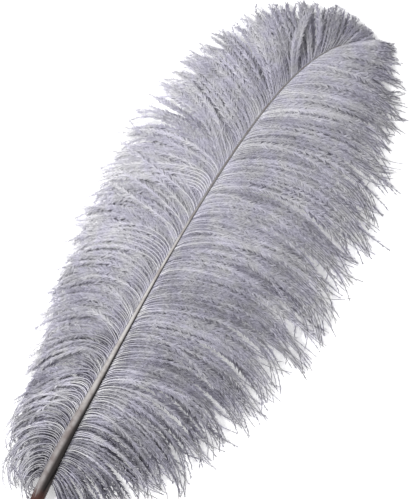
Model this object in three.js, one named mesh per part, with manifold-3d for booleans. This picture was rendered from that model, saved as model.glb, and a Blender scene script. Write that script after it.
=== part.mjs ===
// An ostrich plume lying on a flat surface, its arched side up.
// It grew in one piece, so it is one solid: a tapering shaft, and on each side of it
// a vane of overlapping locks that bend outwards, droop and end in separate tips.
// Units are millimetres, +Z is up, and +Y runs from the quill towards the tip.

import * as THREE from 'three';
import { mergeVertices } from 'three/addons/utils/BufferGeometryUtils.js';
import Module from 'manifold-3d';

// ---- Shaft -------------------------------------------------------------------------

const SHAFT_LENGTH = 491;
const SHAFT_SIDES = 10;
const SHAFT_STEPS = 40;

// Share of the shaft's length, and its heading there in degrees, clockwise from +Y.
const SHAFT_HEADINGS = [
  [0, -4.6],
  [0.14, -1.6],
  [0.235, 1.7],
  [0.33, 0.9],
  [0.43, 1.1],
  [0.53, 2.6],
  [0.63, 4],
  [0.73, 5.7],
  [0.82, 7.3],
  [1, 10.1],
];

// On top of that heading the shaft hooks over by SHAFT_HOOK near its tip.
const SHAFT_HOOK = 52;
const SHAFT_HOOK_POWER = 12.5;

// Share of the shaft's length, and its width there.
const SHAFT_WIDTHS = [
  [0, 5],
  [0.025, 8.2],
  [0.06, 10.6],
  [0.085, 10.9],
  [0.12, 9.9],
  [0.175, 8.8],
  [0.21, 7.8],
  [0.26, 6.2],
  [0.34, 4.5],
  [0.42, 3.4],
  [0.55, 2.4],
  [0.7, 1.8],
  [1, 1.1],
];

// The quill lies on the surface, the shaft arches up, and its tip comes down again.
const ARCH_HEIGHT = 19;
const TIP_HEIGHT = 7;

// ---- Vanes -------------------------------------------------------------------------

// Share of the shaft's length where the vanes begin, above the bare quill.
const VANE_START = 0.095;
const LOCKS_PER_SIDE = 28;
const LOCK_STEPS = 9;
const LOCK_SIDES = 4;

// Each row: share of the vane, length of the barbs there, their angle to the shaft in
// degrees where they leave it, their angle at the tip, and how late along them they bend.
const LEFT_VANE = [
  [0, 34, 84, 270, 0.9],
  [0.02, 52, 78, 262, 0.9],
  [0.045, 71, 68, 245, 0.9],
  [0.09, 78, 62, 218, 0.9],
  [0.155, 72, 60, 198, 0.9],
  [0.275, 79, 60, 176, 1],
  [0.36, 86, 60, 164, 1.05],
  [0.565, 90, 60, 146, 1.3],
  [0.73, 84, 60, 104, 2],
  [0.855, 64, 62, 76, 2],
  [0.94, 37, 44, 46, 2],
  [1, 14, 14, 14, 1],
];
const RIGHT_VANE = [
  [0, 48, 112, 168, 0.8],
  [0.035, 68, 90, 150, 0.8],
  [0.09, 92, 66, 132, 0.8],
  [0.19, 120, 57, 128, 0.8],
  [0.275, 137, 53, 124, 0.82],
  [0.36, 151, 52, 121, 0.85],
  [0.565, 151, 50, 116, 0.9],
  [0.73, 130, 46, 104, 0.9],
  [0.855, 96, 40, 82, 0.9],
  [0.94, 58, 28, 48, 0.9],
  [1, 24, 6, 8, 1],
];

// A lock is thickest over its inner half and thins out towards its tip.
const LOCK_THICKNESS = 5.2;
const LOCK_TIP_THICKNESS = 1.4;

// A lock rises a little from the shaft before it droops to the surface.
const LOCK_RISE = 5;
const LOCK_DROOP_POWER = 2.2;

// Half of the lock's width as a share of the distance to its neighbours' middles: the
// inner part laps over them, and from LOCK_FREE_FROM outwards it draws in to its tip.
const LOCK_LAP = 0.56;
const LOCK_TIP_SHARE = 0.16;
const LOCK_FREE_FROM = 0.58;

// How far the locks differ from each other: in length, in angle at the tip (degrees),
// in rise and in how high their tips lie.
const LENGTH_SPREAD = 0.04;
const ANGLE_SPREAD = 4;
const RISE_SPREAD = 2.5;
const TIP_LIFT = 3;

// ---- Helpers -----------------------------------------------------------------------

/** The slope of one column of a table of rows at row k. */
function slope(rows, k, column) {
  const before = rows[Math.max(k - 1, 0)];
  const after = rows[Math.min(k + 1, rows.length - 1)];
  return (after[column] - before[column]) / (after[0] - before[0]);
}

/** The value of a column on a smooth curve through the rows, whose first column is `at`. */
function along(rows, at, column) {
  let k = 0;
  while (k < rows.length - 2 && rows[k + 1][0] < at) k += 1;
  const span = rows[k + 1][0] - rows[k][0];
  const t = (at - rows[k][0]) / span;
  const rise = rows[k + 1][column] - rows[k][column];
  const startSlope = slope(rows, k, column) * span;
  const endSlope = slope(rows, k + 1, column) * span;
  const ease = t * t * (3 - 2 * t);
  return (
    rows[k][column] + rise * ease
    + startSlope * t * (1 - t) * (1 - t)
    - endSlope * t * t * (1 - t)
  );
}

/** A repeatable number from -1 to 1 for a lock and one of its traits. */
function spread(lock, trait) {
  const wave = Math.sin(lock * 12.9898 + trait * 78.233) * 43758.5453;
  return 2 * (wave - Math.floor(wave)) - 1;
}

/** A step on the level by `length` in a heading given in degrees, clockwise from +Y. */
function step(degrees, length) {
  const heading = THREE.MathUtils.degToRad(degrees);
  return new THREE.Vector3(Math.sin(heading) * length, Math.cos(heading) * length, 0);
}

/** A closed tube of unit radius whose every point is put in place by place(t, x, y). */
function tube(sides, steps, place) {
  const geometry = new THREE.CylinderGeometry(1, 1, 1, sides, steps);
  const positions = geometry.attributes.position;
  for (let i = 0; i < positions.count; i += 1) {
    const t = positions.getY(i) + 0.5;
    const point = place(t, positions.getX(i), positions.getZ(i));
    positions.setXYZ(i, point.x, point.y, point.z);
  }
  return geometry;
}

// ---- Shaft's shape -----------------------------------------------------------------

/** Heading of the shaft, in degrees clockwise from +Y, at a share of its length. */
function shaftHeading(share) {
  return along(SHAFT_HEADINGS, share, 1) + SHAFT_HOOK * share ** SHAFT_HOOK_POWER;
}

/** Height of the shaft's middle above the surface at a share of its length. */
function shaftHeight(share) {
  const quillRadius = along(SHAFT_WIDTHS, 0, 1) / 2;
  const line = THREE.MathUtils.lerp(quillRadius, TIP_HEIGHT, share);
  return line + ARCH_HEIGHT * Math.sin(Math.PI * share);
}

/** Points on the shaft's middle line, at equal steps from the quill's end to the tip. */
function shaftLine() {
  const count = 400;
  const points = [new THREE.Vector3(0, 0, shaftHeight(0))];
  for (let i = 0; i < count; i += 1) {
    const next = points[i].clone().add(step(shaftHeading((i + 0.5) / count), SHAFT_LENGTH / count));
    next.z = shaftHeight((i + 1) / count);
    points.push(next);
  }
  return points;
}

const SHAFT_LINE = shaftLine();

/** The point on the shaft's middle line at a share of its length. */
function shaftPoint(share) {
  const at = share * (SHAFT_LINE.length - 1);
  const k = Math.min(Math.floor(at), SHAFT_LINE.length - 2);
  return SHAFT_LINE[k].clone().lerp(SHAFT_LINE[k + 1], at - k);
}

function shaftGeometry() {
  return tube(SHAFT_SIDES, SHAFT_STEPS, (t, x, y) => {
    const radius = along(SHAFT_WIDTHS, t, 1) / 2;
    const point = shaftPoint(t).add(step(shaftHeading(t) + 90, x * radius));
    point.z += y * radius;
    return point;
  });
}

// ---- Vanes' shape ------------------------------------------------------------------

/**
 * Points along one barb, from the middle of the shaft to the barb's tip.
 * side is 1 for the right vane and -1 for the left one, share is the place along the
 * vane, and lock gives the traits that the barb has in common with its lock.
 */
function barbLine(side, share, lock) {
  const rows = side > 0 ? RIGHT_VANE : LEFT_VANE;
  const length = along(rows, share, 1) * (1 + LENGTH_SPREAD * spread(lock, 1));
  const exit = along(rows, share, 2);
  const bend = along(rows, share, 3) + ANGLE_SPREAD * spread(lock, 2) - exit;
  const late = along(rows, share, 4);
  const onShaft = VANE_START + (1 - VANE_START) * share;
  const root = shaftPoint(onShaft);
  const tipHeight = LOCK_TIP_THICKNESS / 2 + TIP_LIFT * Math.max(spread(lock, 3), 0);
  const rise = LOCK_RISE + RISE_SPREAD * spread(lock, 4);
  const points = [root.clone()];
  const flat = root.clone();
  const finer = 4;
  for (let i = 0; i < LOCK_STEPS * finer; i += 1) {
    const t = (i + 0.5) / (LOCK_STEPS * finer);
    const heading = shaftHeading(onShaft) + side * (exit + bend * t ** late);
    flat.add(step(heading, length / (LOCK_STEPS * finer)));
    if ((i + 1) % finer === 0) {
      const end = (i + 1) / (LOCK_STEPS * finer);
      const height = THREE.MathUtils.lerp(root.z, tipHeight, end ** LOCK_DROOP_POWER);
      points.push(new THREE.Vector3(flat.x, flat.y, height + rise * Math.sin(Math.PI * end)));
    }
  }
  return points;
}

/** One lock: the barbs around a place along the vane, as a tapering flat blade. */
function lockGeometry(side, share, lock) {
  const reach = 1 / LOCKS_PER_SIDE;
  const middle = barbLine(side, share, lock);
  const lower = barbLine(side, Math.max(share - reach, 0), lock);
  const upper = barbLine(side, Math.min(share + reach, 1), lock);
  return tube(LOCK_SIDES, LOCK_STEPS, (t, x, y) => {
    const k = Math.round(t * LOCK_STEPS);
    const drawnIn = THREE.MathUtils.smoothstep(t, LOCK_FREE_FROM, 1);
    const width = THREE.MathUtils.lerp(LOCK_LAP, LOCK_TIP_SHARE, drawnIn);
    const thickness = THREE.MathUtils.lerp(LOCK_THICKNESS, LOCK_TIP_THICKNESS, drawnIn);
    const neighbour = x * side < 0 ? upper[k] : lower[k];
    const point = middle[k].clone().lerp(neighbour, Math.abs(x) * width);
    point.z = middle[k].z + (y * thickness) / 2;
    return point;
  });
}

// ---- Joining -----------------------------------------------------------------------

const wasm = await Module();
wasm.setup();

/** A closed geometry as a solid that can be joined to others. */
function solid(geometry) {
  const bare = geometry.clone();
  bare.deleteAttribute('normal');
  bare.deleteAttribute('uv');
  const merged = mergeVertices(bare);
  const mesh = new wasm.Mesh({
    numProp: 3,
    vertProperties: new Float32Array(merged.attributes.position.array),
    triVerts: new Uint32Array(merged.index.array),
  });
  return new wasm.Manifold(mesh);
}

/** The solid with the pockets filled that overlapping locks close in between them. */
function outerShell(manifold) {
  const shells = manifold.decompose();
  return shells.reduce((largest, shell) => (shell.volume() > largest.volume() ? shell : largest));
}

/** The geometry of a joined solid. */
function geometryOf(manifold) {
  const mesh = manifold.getMesh();
  const geometry = new THREE.BufferGeometry();
  geometry.setAttribute('position', new THREE.BufferAttribute(mesh.vertProperties, 3));
  geometry.setIndex(new THREE.BufferAttribute(mesh.triVerts, 1));
  return geometry;
}

function featherGeometry() {
  let feather = solid(shaftGeometry());
  for (const side of [-1, 1]) {
    for (let i = 0; i < LOCKS_PER_SIDE; i += 1) {
      const share = (i + 0.5) / LOCKS_PER_SIDE;
      feather = feather.add(solid(lockGeometry(side, share, side * (i + 1))));
    }
    feather = feather.add(solid(lockGeometry(side, 1, side * (LOCKS_PER_SIDE + 1))));
  }
  return geometryOf(outerShell(feather));
}

const dyedBarbs = new THREE.MeshStandardMaterial({
  name: 'dyed barbs',
  color: 0xa5a4ac,
  roughness: 0.85,
  metalness: 0,
});

const feather = new THREE.Mesh(featherGeometry(), dyedBarbs);
feather.name = 'feather';

// The origin is below the middle of the feather, on the surface that it lies on.
const extent = new THREE.Box3().setFromObject(feather);
const middle = extent.getCenter(new THREE.Vector3());
feather.position.set(-middle.x, -middle.y, -extent.min.z);

const part = new THREE.Group();
part.add(feather);

export default part;
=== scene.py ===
"""A lavender-grey ostrich plume lying on a pale studio floor, its arched side up.

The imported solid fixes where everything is. Here the plume gets its real surface: a smooth
tapering shaft, and on each side of it a vane of separate barbs, each fringed with barbules.
Sizes are in metres.
"""

import logging
import math
import random
from dataclasses import dataclass
from enum import Enum

import bpy
import numpy as np
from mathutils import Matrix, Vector


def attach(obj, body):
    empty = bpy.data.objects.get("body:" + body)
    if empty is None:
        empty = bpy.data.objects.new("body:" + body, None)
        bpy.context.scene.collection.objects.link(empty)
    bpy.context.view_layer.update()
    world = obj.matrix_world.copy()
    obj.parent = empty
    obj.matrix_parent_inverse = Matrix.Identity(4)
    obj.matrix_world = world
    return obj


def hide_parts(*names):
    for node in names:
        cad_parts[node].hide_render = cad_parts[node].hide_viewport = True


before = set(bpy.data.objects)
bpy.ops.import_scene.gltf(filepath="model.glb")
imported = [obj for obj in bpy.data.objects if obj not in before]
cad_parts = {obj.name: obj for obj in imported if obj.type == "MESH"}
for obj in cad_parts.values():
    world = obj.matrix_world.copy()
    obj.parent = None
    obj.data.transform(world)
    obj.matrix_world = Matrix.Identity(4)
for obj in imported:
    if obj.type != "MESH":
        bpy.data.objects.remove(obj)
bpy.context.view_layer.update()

BODY = "root"
NODE = "feather"
SEED = 3

log = logging.getLogger("plume")

Stations = tuple[tuple[float, ...], ...]
Colour = tuple[float, float, float]
Triple = tuple[float, float, float]
Span = tuple[float, float]

# What makes the locks' repeatable numbers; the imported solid's locks use the same ones.
LOCK_STRIDE = 12.9898
TRAIT_STRIDE = 78.233
WAVE_SCALE = 43758.5453

# The seam on top of the shaft lies this far right of the middle at the quill, in radii,
# and moves outwards over this stretch of the shaft.
SEAM_START = 0.45
SEAM_SHIFT: Span = (0.08, 0.135)


# ---- Shared rules -------------------------------------------------------------------


def slope(rows: Stations, k: int, column: int) -> float:
    """Reads the slope of one column of a table at one of its stations.

    Args:
        rows: The stations, each starting with its place.
        k: Number of the station.
        column: Which of the stations' values to read.

    Returns:
        The value's change with the place.
    """
    before = rows[max(k - 1, 0)]
    after = rows[min(k + 1, len(rows) - 1)]
    return (after[column] - before[column]) / (after[0] - before[0])


def along(rows: Stations, at: float, column: int) -> float:
    """Reads one column of a table on a smooth curve through its stations.

    Args:
        rows: The stations, each starting with its place.
        at: The place to read.
        column: Which of the stations' values to read.

    Returns:
        The value there.
    """
    k = 0
    while k < len(rows) - 2 and rows[k + 1][0] < at:
        k += 1
    span = rows[k + 1][0] - rows[k][0]
    t = (at - rows[k][0]) / span
    rise = rows[k + 1][column] - rows[k][column]
    start_slope = slope(rows, k, column) * span
    end_slope = slope(rows, k + 1, column) * span
    eased = rows[k][column] + rise * t * t * (3 - 2 * t)
    return eased + start_slope * t * (1 - t) * (1 - t) - end_slope * t * t * (1 - t)


def spread(lock: int, trait: int) -> float:
    """A repeatable number from -1 to 1 for a lock and one of its traits."""
    wave = math.sin(lock * LOCK_STRIDE + trait * TRAIT_STRIDE) * WAVE_SCALE
    return 2 * (wave - math.floor(wave)) - 1


def smoothstep(value: np.ndarray | float, low: float, high: float) -> np.ndarray | float:
    """Rises smoothly from 0 at low to 1 at high."""
    t = np.clip((value - low) / (high - low), 0.0, 1.0)
    return t * t * (3 - 2 * t)


def add_object(name: str, data: bpy.types.ID) -> bpy.types.Object:
    """Makes an object of some data and shows it in the scene.

    Args:
        name: The object's name.
        data: Its mesh, light or camera.

    Returns:
        The object.
    """
    made = bpy.data.objects.new(name, data)
    bpy.context.scene.collection.objects.link(made)
    return made


class Side(Enum):
    """The two vanes, seen from above with the tip away from the viewer."""

    LEFT = -1
    RIGHT = 1


# ---- Node trees ---------------------------------------------------------------------


class Tree:
    """A thin helper that adds and links nodes in one node tree."""

    def __init__(self, tree: bpy.types.NodeTree) -> None:
        """Takes the tree to build in."""
        self.tree = tree

    def add(self, kind: str, *inputs: object, **settings: object) -> bpy.types.Node:
        """Adds a node.

        Args:
            kind: The node's type.
            *inputs: Values or output sockets for its inputs in order; None skips one.
            **settings: Properties to set before the inputs.

        Returns:
            The node.
        """
        node = self.tree.nodes.new(kind)
        for name, value in settings.items():
            setattr(node, name, value)
        enabled = [socket for socket in node.inputs if socket.enabled]
        for socket, value in zip(enabled, inputs):
            self.feed(socket, value)
        return node

    def feed(self, socket: bpy.types.NodeSocket, value: object) -> None:
        """Links an output socket to an input, or sets the input's own value.

        Args:
            socket: The input.
            value: A socket or a value; None leaves the input as it is.
        """
        if value is None:
            return
        if isinstance(value, bpy.types.NodeSocket):
            self.tree.links.new(value, socket)
        else:
            socket.default_value = value

    def math(self, operation: str, *inputs: object) -> bpy.types.NodeSocket:
        """The result of a Math node."""
        return self.add("ShaderNodeMath", *inputs, operation=operation).outputs[0]

    def attribute(self, name: str) -> bpy.types.NodeSocket:
        """A material's reading of the number stored under a name."""
        return self.add("ShaderNodeAttribute", attribute_name=name).outputs["Fac"]

    def noise(self, place: bpy.types.NodeSocket, grain: Triple) -> bpy.types.NodeSocket:
        """A noise from 0 to 1 with the scale, detail and roughness in grain."""
        return self.add("ShaderNodeTexNoise", place, *grain).outputs[0]

    def remap(
        self, value: object, low: float, high: float, start: float = 0.0, end: float = 1.0
    ) -> bpy.types.NodeSocket:
        """Maps a value from low..high to start..end, clamped and smoothed.

        Args:
            value: The value or socket to map.
            low: Where the change begins.
            high: Where it ends.
            start: The result up to low.
            end: The result from high on.

        Returns:
            The result.
        """
        inputs = (value, low, high, start, end)
        settings = {"interpolation_type": "SMOOTHSTEP"}
        return self.add("ShaderNodeMapRange", *inputs, **settings).outputs[0]

    def mix(
        self, factor: object, first: object, second: object, blend: str = "MIX"
    ) -> bpy.types.NodeSocket:
        """Mixes two colours or colour sockets.

        Args:
            factor: Share of the second one.
            first: The first one.
            second: The second one.
            blend: How the second one acts on the first.

        Returns:
            The mixed colour.
        """
        colours = [(*side, 1) if isinstance(side, tuple) else side for side in (first, second)]
        node = self.add("ShaderNodeMix", factor, *colours, data_type="RGBA", blend_type=blend)
        return next(socket for socket in node.outputs if socket.enabled)


# ---- Finishes -----------------------------------------------------------------------


class Finish:
    """A new material with its tree and its shader's inputs."""

    def __init__(self, name: str, settings: dict[str, object]) -> None:
        """Makes the material.

        Args:
            name: The material's name.
            settings: Values for the shader's inputs, by name.
        """
        self.material = bpy.data.materials.new(name)
        self.material.use_nodes = True
        self.tree = Tree(self.material.node_tree)
        self.inputs = self.material.node_tree.nodes["Principled BSDF"].inputs
        for key, value in settings.items():
            self.tree.feed(self.inputs[key], value)


@dataclass(frozen=True)
class BarbFinish:
    """Soft dyed barbs: dull fibres from deep violet, used as painted shade, to pale grey cores.

    A noise is given by its scale, detail and roughness, and a span is the stretch of a value
    over which something changes.
    """

    name: str = "dyed barbs"
    # The deepest tones serve the painted shade in the gaps, beside the shaft and under the
    # upper layer.
    tones: tuple[tuple[float, Colour], ...] = (
        (0.0, (0.030, 0.028, 0.042)),
        (0.25, (0.153, 0.148, 0.183)),
        (0.5, (0.348, 0.342, 0.394)),
        (0.75, (0.545, 0.537, 0.588)),
        (1.0, (0.850, 0.842, 0.880)),
    )
    warm: Colour = (1.018, 1.022, 0.968)
    cool: Colour = (0.988, 0.977, 1.030)
    patches: Triple = (30.0, 2.0, 0.55)
    patch_depth: float = 0.055
    grain: Triple = (700.0, 1.0, 0.5)
    grain_depth: float = 0.03
    noise_span: Span = (0.3, 0.7)
    cast: Triple = (75.0, 3.0, 0.6)
    cast_span: Span = (0.35, 0.65)
    roughness: float = 0.7
    sheen: float = 0.15
    specular: float = 0.25

    def build(self) -> bpy.types.Material:
        """Makes the material.

        Returns:
            A material that reads each fibre's own tone.
        """
        settings = {"Roughness": self.roughness, "Sheen Weight": self.sheen}
        finish = Finish(self.name, settings | {"Specular IOR Level": self.specular})
        tree = finish.tree
        place = tree.add("ShaderNodeTexCoord").outputs["Object"]
        tone = tree.attribute("tone")
        for grain, depth in ((self.patches, self.patch_depth), (self.grain, self.grain_depth)):
            fleck = tree.remap(tree.noise(place, grain), *self.noise_span, -depth, depth)
            tone = tree.math("ADD", tone, fleck)
        ramp = tree.add("ShaderNodeValToRGB", tone)
        stops = ramp.color_ramp.elements
        stops[0].color = (*self.tones[0][1], 1)
        stops[1].color = (*self.tones[-1][1], 1)
        for at, colour in self.tones[1:-1]:
            stops.new(at).color = (*colour, 1)
        cast = tree.remap(tree.noise(place, self.cast), *self.cast_span)
        tint = tree.mix(cast, self.cool, self.warm)
        tree.feed(finish.inputs["Base Color"], tree.mix(1.0, ramp.outputs[0], tint, "MULTIPLY"))
        return finish.material


@dataclass(frozen=True)
class ShaftFinish:
    """Smooth horn, taupe and reddish at the quill, with painted highlight and brownish shade.

    Spans are shares of the shaft's length, or places across it in radii to the right, over
    which something changes.
    """

    name: str = "shaft horn"
    taupe: Colour = (0.265, 0.245, 0.243)
    bright: Colour = (0.42, 0.405, 0.395)
    grey: Colour = (0.17, 0.165, 0.165)
    flank_shade: Colour = (0.026, 0.021, 0.020)
    quill: Colour = (0.060, 0.022, 0.016)
    seam_shadow: Colour = (0.004, 0.003, 0.003)
    shaded: Colour = (0.045, 0.036, 0.034)
    stretch: Triple = (900.0, 60.0, 900.0)
    streaks: Triple = (1.0, 3.0, 0.6)
    clouds: Triple = (130.0, 3.0, 0.6)
    highlight_from: Span = (0.17, 0.34)
    grey_from: Span = (0.5, 0.66)
    worn: Span = (0.42, 0.7)
    wear: float = 0.45
    low_grey_from: Span = (0.4, 0.7)
    edge_shift: Span = (0.08, 0.27)
    edge: Span = (-0.48, 0.15)
    edge_streaks: float = 0.3
    edge_blur: Span = (0.0, 0.8)
    seam_end: float = 0.9
    seam_width: Span = (0.02, 0.22)
    seam_until: Span = (0.3, 0.5)
    shaded_beyond: Span = (0.1, 0.25)
    shaded_until: Span = (0.12, 0.15)
    left_edge_shade: Span = (-1.0, -0.72)
    left_edge_shade_from: Span = (0.2, 0.3)
    left_edge_shade_strength: float = 0.6
    quill_streaks: float = 0.05
    quill_until: Span = (0.088, 0.114)
    bump_strength: float = 0.25
    bump_distance: float = 0.0002
    roughness: float = 0.5
    specular: float = 0.22

    def build(self) -> bpy.types.Material:
        """Makes the material.

        Returns:
            A material that reads the shaft's place along and around it.
        """
        settings = {"Roughness": self.roughness, "Specular IOR Level": self.specular}
        finish = Finish(self.name, settings)
        tree = finish.tree
        share, flank = tree.attribute("share"), tree.attribute("flank")
        place = tree.add("ShaderNodeTexCoord").outputs["Object"]
        stretched = tree.add("ShaderNodeMapping", place)
        stretched.inputs["Scale"].default_value = self.stretch
        streaks = tree.noise(stretched.outputs[0], self.streaks)
        # The middle stretch's paler colour is a painted highlight.
        top = tree.mix(tree.remap(share, *self.highlight_from), self.taupe, self.bright)
        top = tree.mix(tree.remap(share, *self.grey_from), top, self.grey)
        worn = tree.remap(tree.noise(place, self.clouds), *self.worn, 0.0, self.wear)
        top = tree.mix(worn, top, self.quill)
        # Painted shade on the right flank, which faces away from the key lamp; it greys higher
        # up the shaft.
        low = tree.mix(tree.remap(share, *self.low_grey_from), self.flank_shade, self.grey)
        edge = tree.math("SUBTRACT", flank, tree.remap(share, *self.edge_shift, *self.edge))
        edge = tree.math("MULTIPLY_ADD", streaks, self.edge_streaks, edge)
        body = tree.mix(tree.remap(edge, *self.edge_blur), top, low)
        body = self.seamed(tree, body, share, flank)
        brown = tree.math("MULTIPLY_ADD", streaks, self.quill_streaks, share)
        body = tree.mix(tree.remap(brown, *self.quill_until, 1.0, 0.0), body, self.quill)
        tree.feed(finish.inputs["Base Color"], body)
        bump = tree.add("ShaderNodeBump", self.bump_strength, self.bump_distance)
        tree.feed(bump.inputs["Height"], streaks)
        tree.feed(finish.inputs["Normal"], bump.outputs[0])
        return finish.material

    def seamed(
        self, tree: Tree, body: object, share: object, flank: object
    ) -> bpy.types.NodeSocket:
        """Paints the shadow in the seam, the shaded flank beyond it and a grey painted shade
        along the left edge.

        Args:
            tree: The material's tree.
            body: The shaft's colour without them.
            share: Place along the shaft.
            flank: Place across it, in radii to the right.

        Returns:
            The shaft's colour with them.
        """
        # Painted shadow along the seam's groove, fading out up the shaft.
        seam = tree.remap(share, *SEAM_SHIFT, SEAM_START, self.seam_end)
        beyond = tree.math("SUBTRACT", flank, seam)
        shadow = tree.remap(tree.math("ABSOLUTE", beyond), *self.seam_width, 1.0, 0.0)
        fading = tree.remap(share, *self.seam_until, 1.0, 0.0)
        body = tree.mix(tree.math("MULTIPLY", shadow, fading), body, self.seam_shadow)
        shade = tree.remap(beyond, *self.shaded_beyond)
        fading = tree.remap(share, *self.shaded_until, 1.0, 0.0)
        body = tree.mix(tree.math("MULTIPLY", shade, fading), body, self.shaded)
        # Painted shade as a grey line along the left edge, from a fifth of the way up the
        # shaft.
        left_edge_shade = tree.remap(flank, *self.left_edge_shade, self.left_edge_shade_strength, 0.0)
        rising = tree.remap(share, *self.left_edge_shade_from)
        return tree.mix(tree.math("MULTIPLY", left_edge_shade, rising), body, self.grey)


@dataclass(frozen=True)
class FloorFinish:
    """A plain near-white floor."""

    name: str = "pale floor"
    colour: Colour = (0.93, 0.93, 0.94)
    roughness: float = 0.9
    glow: float = 0.3

    def build(self) -> bpy.types.Material:
        """Makes the floor's material.

        Returns:
            A plain material that glows a little.
        """
        settings = {"Base Color": (*self.colour, 1), "Roughness": self.roughness}
        settings |= {"Emission Color": (1, 1, 1, 1), "Emission Strength": self.glow}
        return Finish(self.name, settings).material


# ---- Shaft --------------------------------------------------------------------------


@dataclass
class Shaft:
    """The tapering middle of the plume, from the bare quill to its hooked tip.

    Its headings are degrees clockwise from +Y and its widths metres, each at a share of the
    length. The spans are shares of the length too.
    """

    length: float = 0.491
    headings: Stations = (
        (0.0, -4.6),
        (0.14, -1.6),
        (0.235, 1.7),
        (0.33, 0.9),
        (0.43, 1.1),
        (0.53, 2.6),
        (0.63, 4.0),
        (0.73, 5.7),
        (0.82, 7.3),
        (1.0, 10.1),
    )
    hook: float = 52.0
    hook_power: float = 12.5
    arch_height: float = 0.019
    tip_height: float = 0.007
    line_steps: int = 400
    rings: int = 220
    sides: int = 24
    widths: Stations = (
        (0.0, 0.0050),
        (0.025, 0.0082),
        (0.06, 0.0106),
        (0.085, 0.0109),
        (0.12, 0.0099),
        (0.175, 0.0088),
        (0.21, 0.0078),
        (0.26, 0.0062),
        (0.34, 0.0045),
        (0.42, 0.0034),
        (0.55, 0.0024),
        (0.7, 0.0018),
        (1.0, 0.0011),
    )
    seam_travel: float = 0.5
    groove_from: Span = (0.03, 0.07)
    groove_until: Span = (0.12, 0.16)
    groove_depth: float = 0.22
    groove_width: float = 0.16
    ridge_angle: float = 2.0
    ridge_height: float = 0.08
    ridge_width: float = 0.5
    end_slice: float = 0.0005

    def __post_init__(self) -> None:
        """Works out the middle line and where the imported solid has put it."""
        shares = (np.arange(self.line_steps) + 0.5) / self.line_steps
        turns = np.radians([self.heading(s) for s in shares])
        steps = np.stack([np.sin(turns), np.cos(turns)], 1) * self.length / self.line_steps
        flat = np.vstack([[0.0, 0.0], np.cumsum(steps, 0)])
        heights = [self.height(s) for s in np.linspace(0, 1, self.line_steps + 1)]
        self.line = np.column_stack([flat, heights]) + self.quill_end()

    def quill_end(self) -> np.ndarray:
        """Finds the quill's end, which is the solid's lowest point along Y.

        Returns:
            The place of the quill's end on the surface.
        """
        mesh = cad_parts[NODE].data
        points = np.zeros(len(mesh.vertices) * 3)
        mesh.vertices.foreach_get("co", points)
        points = points.reshape(-1, 3)
        near = points[points[:, 1] < points[:, 1].min() + self.end_slice]
        middle = (near.min(0) + near.max(0)) / 2
        return np.array([middle[0], middle[1], 0.0])

    def heading(self, share: float) -> float:
        """Heading in degrees clockwise from +Y at a share of the length."""
        return along(self.headings, share, 1) + self.hook * share**self.hook_power

    def height(self, share: float) -> float:
        """Works out how high the middle line lies above the surface.

        Args:
            share: Place along the shaft.

        Returns:
            The height in metres.
        """
        low = self.widths[0][1] / 2
        arch = self.arch_height * math.sin(math.pi * share)
        return low + (self.tip_height - low) * share + arch

    def point(self, share: float) -> np.ndarray:
        """The point of the middle line at a share of the length."""
        at = np.linspace(0, 1, len(self.line))
        return np.array([np.interp(share, at, self.line[:, k]) for k in range(3)])

    def radius(self, share: float) -> float:
        """Half of the shaft's width at a share of the length."""
        return along(self.widths, share, 1) / 2

    def outwards(self, share: float) -> np.ndarray:
        """The level unit vector to the right of the shaft at a share of the length."""
        turn = math.radians(self.heading(share) + 90)
        return np.array([math.sin(turn), math.cos(turn), 0.0])

    def section(self, share: float, angle: float) -> tuple[float, float]:
        """One point of the cross-section, in radii to the right and up.

        Args:
            share: Place along the shaft.
            angle: Place around it, 0 to the right and a quarter turn at the top.

        Returns:
            The point's place to the right and up, in radii.
        """
        seam = math.acos(SEAM_START + self.seam_travel * float(smoothstep(share, *SEAM_SHIFT)))
        groove = float(smoothstep(share, *self.groove_from))
        groove *= 1 - float(smoothstep(share, *self.groove_until))
        beside = (angle - seam) / self.groove_width
        dip = self.groove_depth * groove * math.exp(-(beside**2))
        beside = (angle - self.ridge_angle) / self.ridge_width
        ridge = self.ridge_height * math.exp(-(beside**2))
        reach = 1 - dip + ridge
        return math.cos(angle) * reach, math.sin(angle) * reach

    def build(self, finish: bpy.types.Material) -> bpy.types.Object:
        """Builds the shaft's closed mesh.

        Args:
            finish: The shaft's material.

        Returns:
            The finished piece.
        """
        points, shares, flanks = [], [], []
        for ring in range(self.rings + 1):
            share = ring / self.rings
            middle, right = self.point(share), self.outwards(share)
            radius = self.radius(share)
            for side in range(self.sides):
                angle = math.tau * side / self.sides
                across, up = self.section(share, angle)
                points.append(middle + right * across * radius + np.array([0, 0, up * radius]))
                shares.append(share)
                flanks.append(across)
        faces = []
        for ring in range(self.rings):
            for side in range(self.sides):
                a = ring * self.sides + side
                b = ring * self.sides + (side + 1) % self.sides
                faces.append((a, a + self.sides, b + self.sides, b))
        last = self.rings * self.sides
        faces.append(tuple(range(self.sides)))
        faces.append(tuple(reversed(range(last, last + self.sides))))
        mesh = bpy.data.meshes.new("shaft")
        mesh.from_pydata([tuple(p) for p in points], [], faces)
        mesh.polygons.foreach_set("use_smooth", [True] * len(mesh.polygons))
        for name, values in (("share", shares), ("flank", flanks)):
            mesh.attributes.new(name, "FLOAT", "POINT").data.foreach_set("value", values)
        mesh.materials.append(finish)
        return add_object("shaft", mesh)


# ---- Barbs --------------------------------------------------------------------------


@dataclass
class Wisp:
    """A few neighbouring barbs that cling together towards their tips."""

    share: float
    leave: float
    turn: float
    late: float
    length: float
    lift: float
    tone: float
    curl: float
    pull: float
    grip: float
    wave: float
    phase: float


@dataclass(frozen=True)
class Crossing:
    """A wisp that lies across its neighbours, on top of them."""

    wisp: Wisp
    barbs: int
    spacing: float


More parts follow.
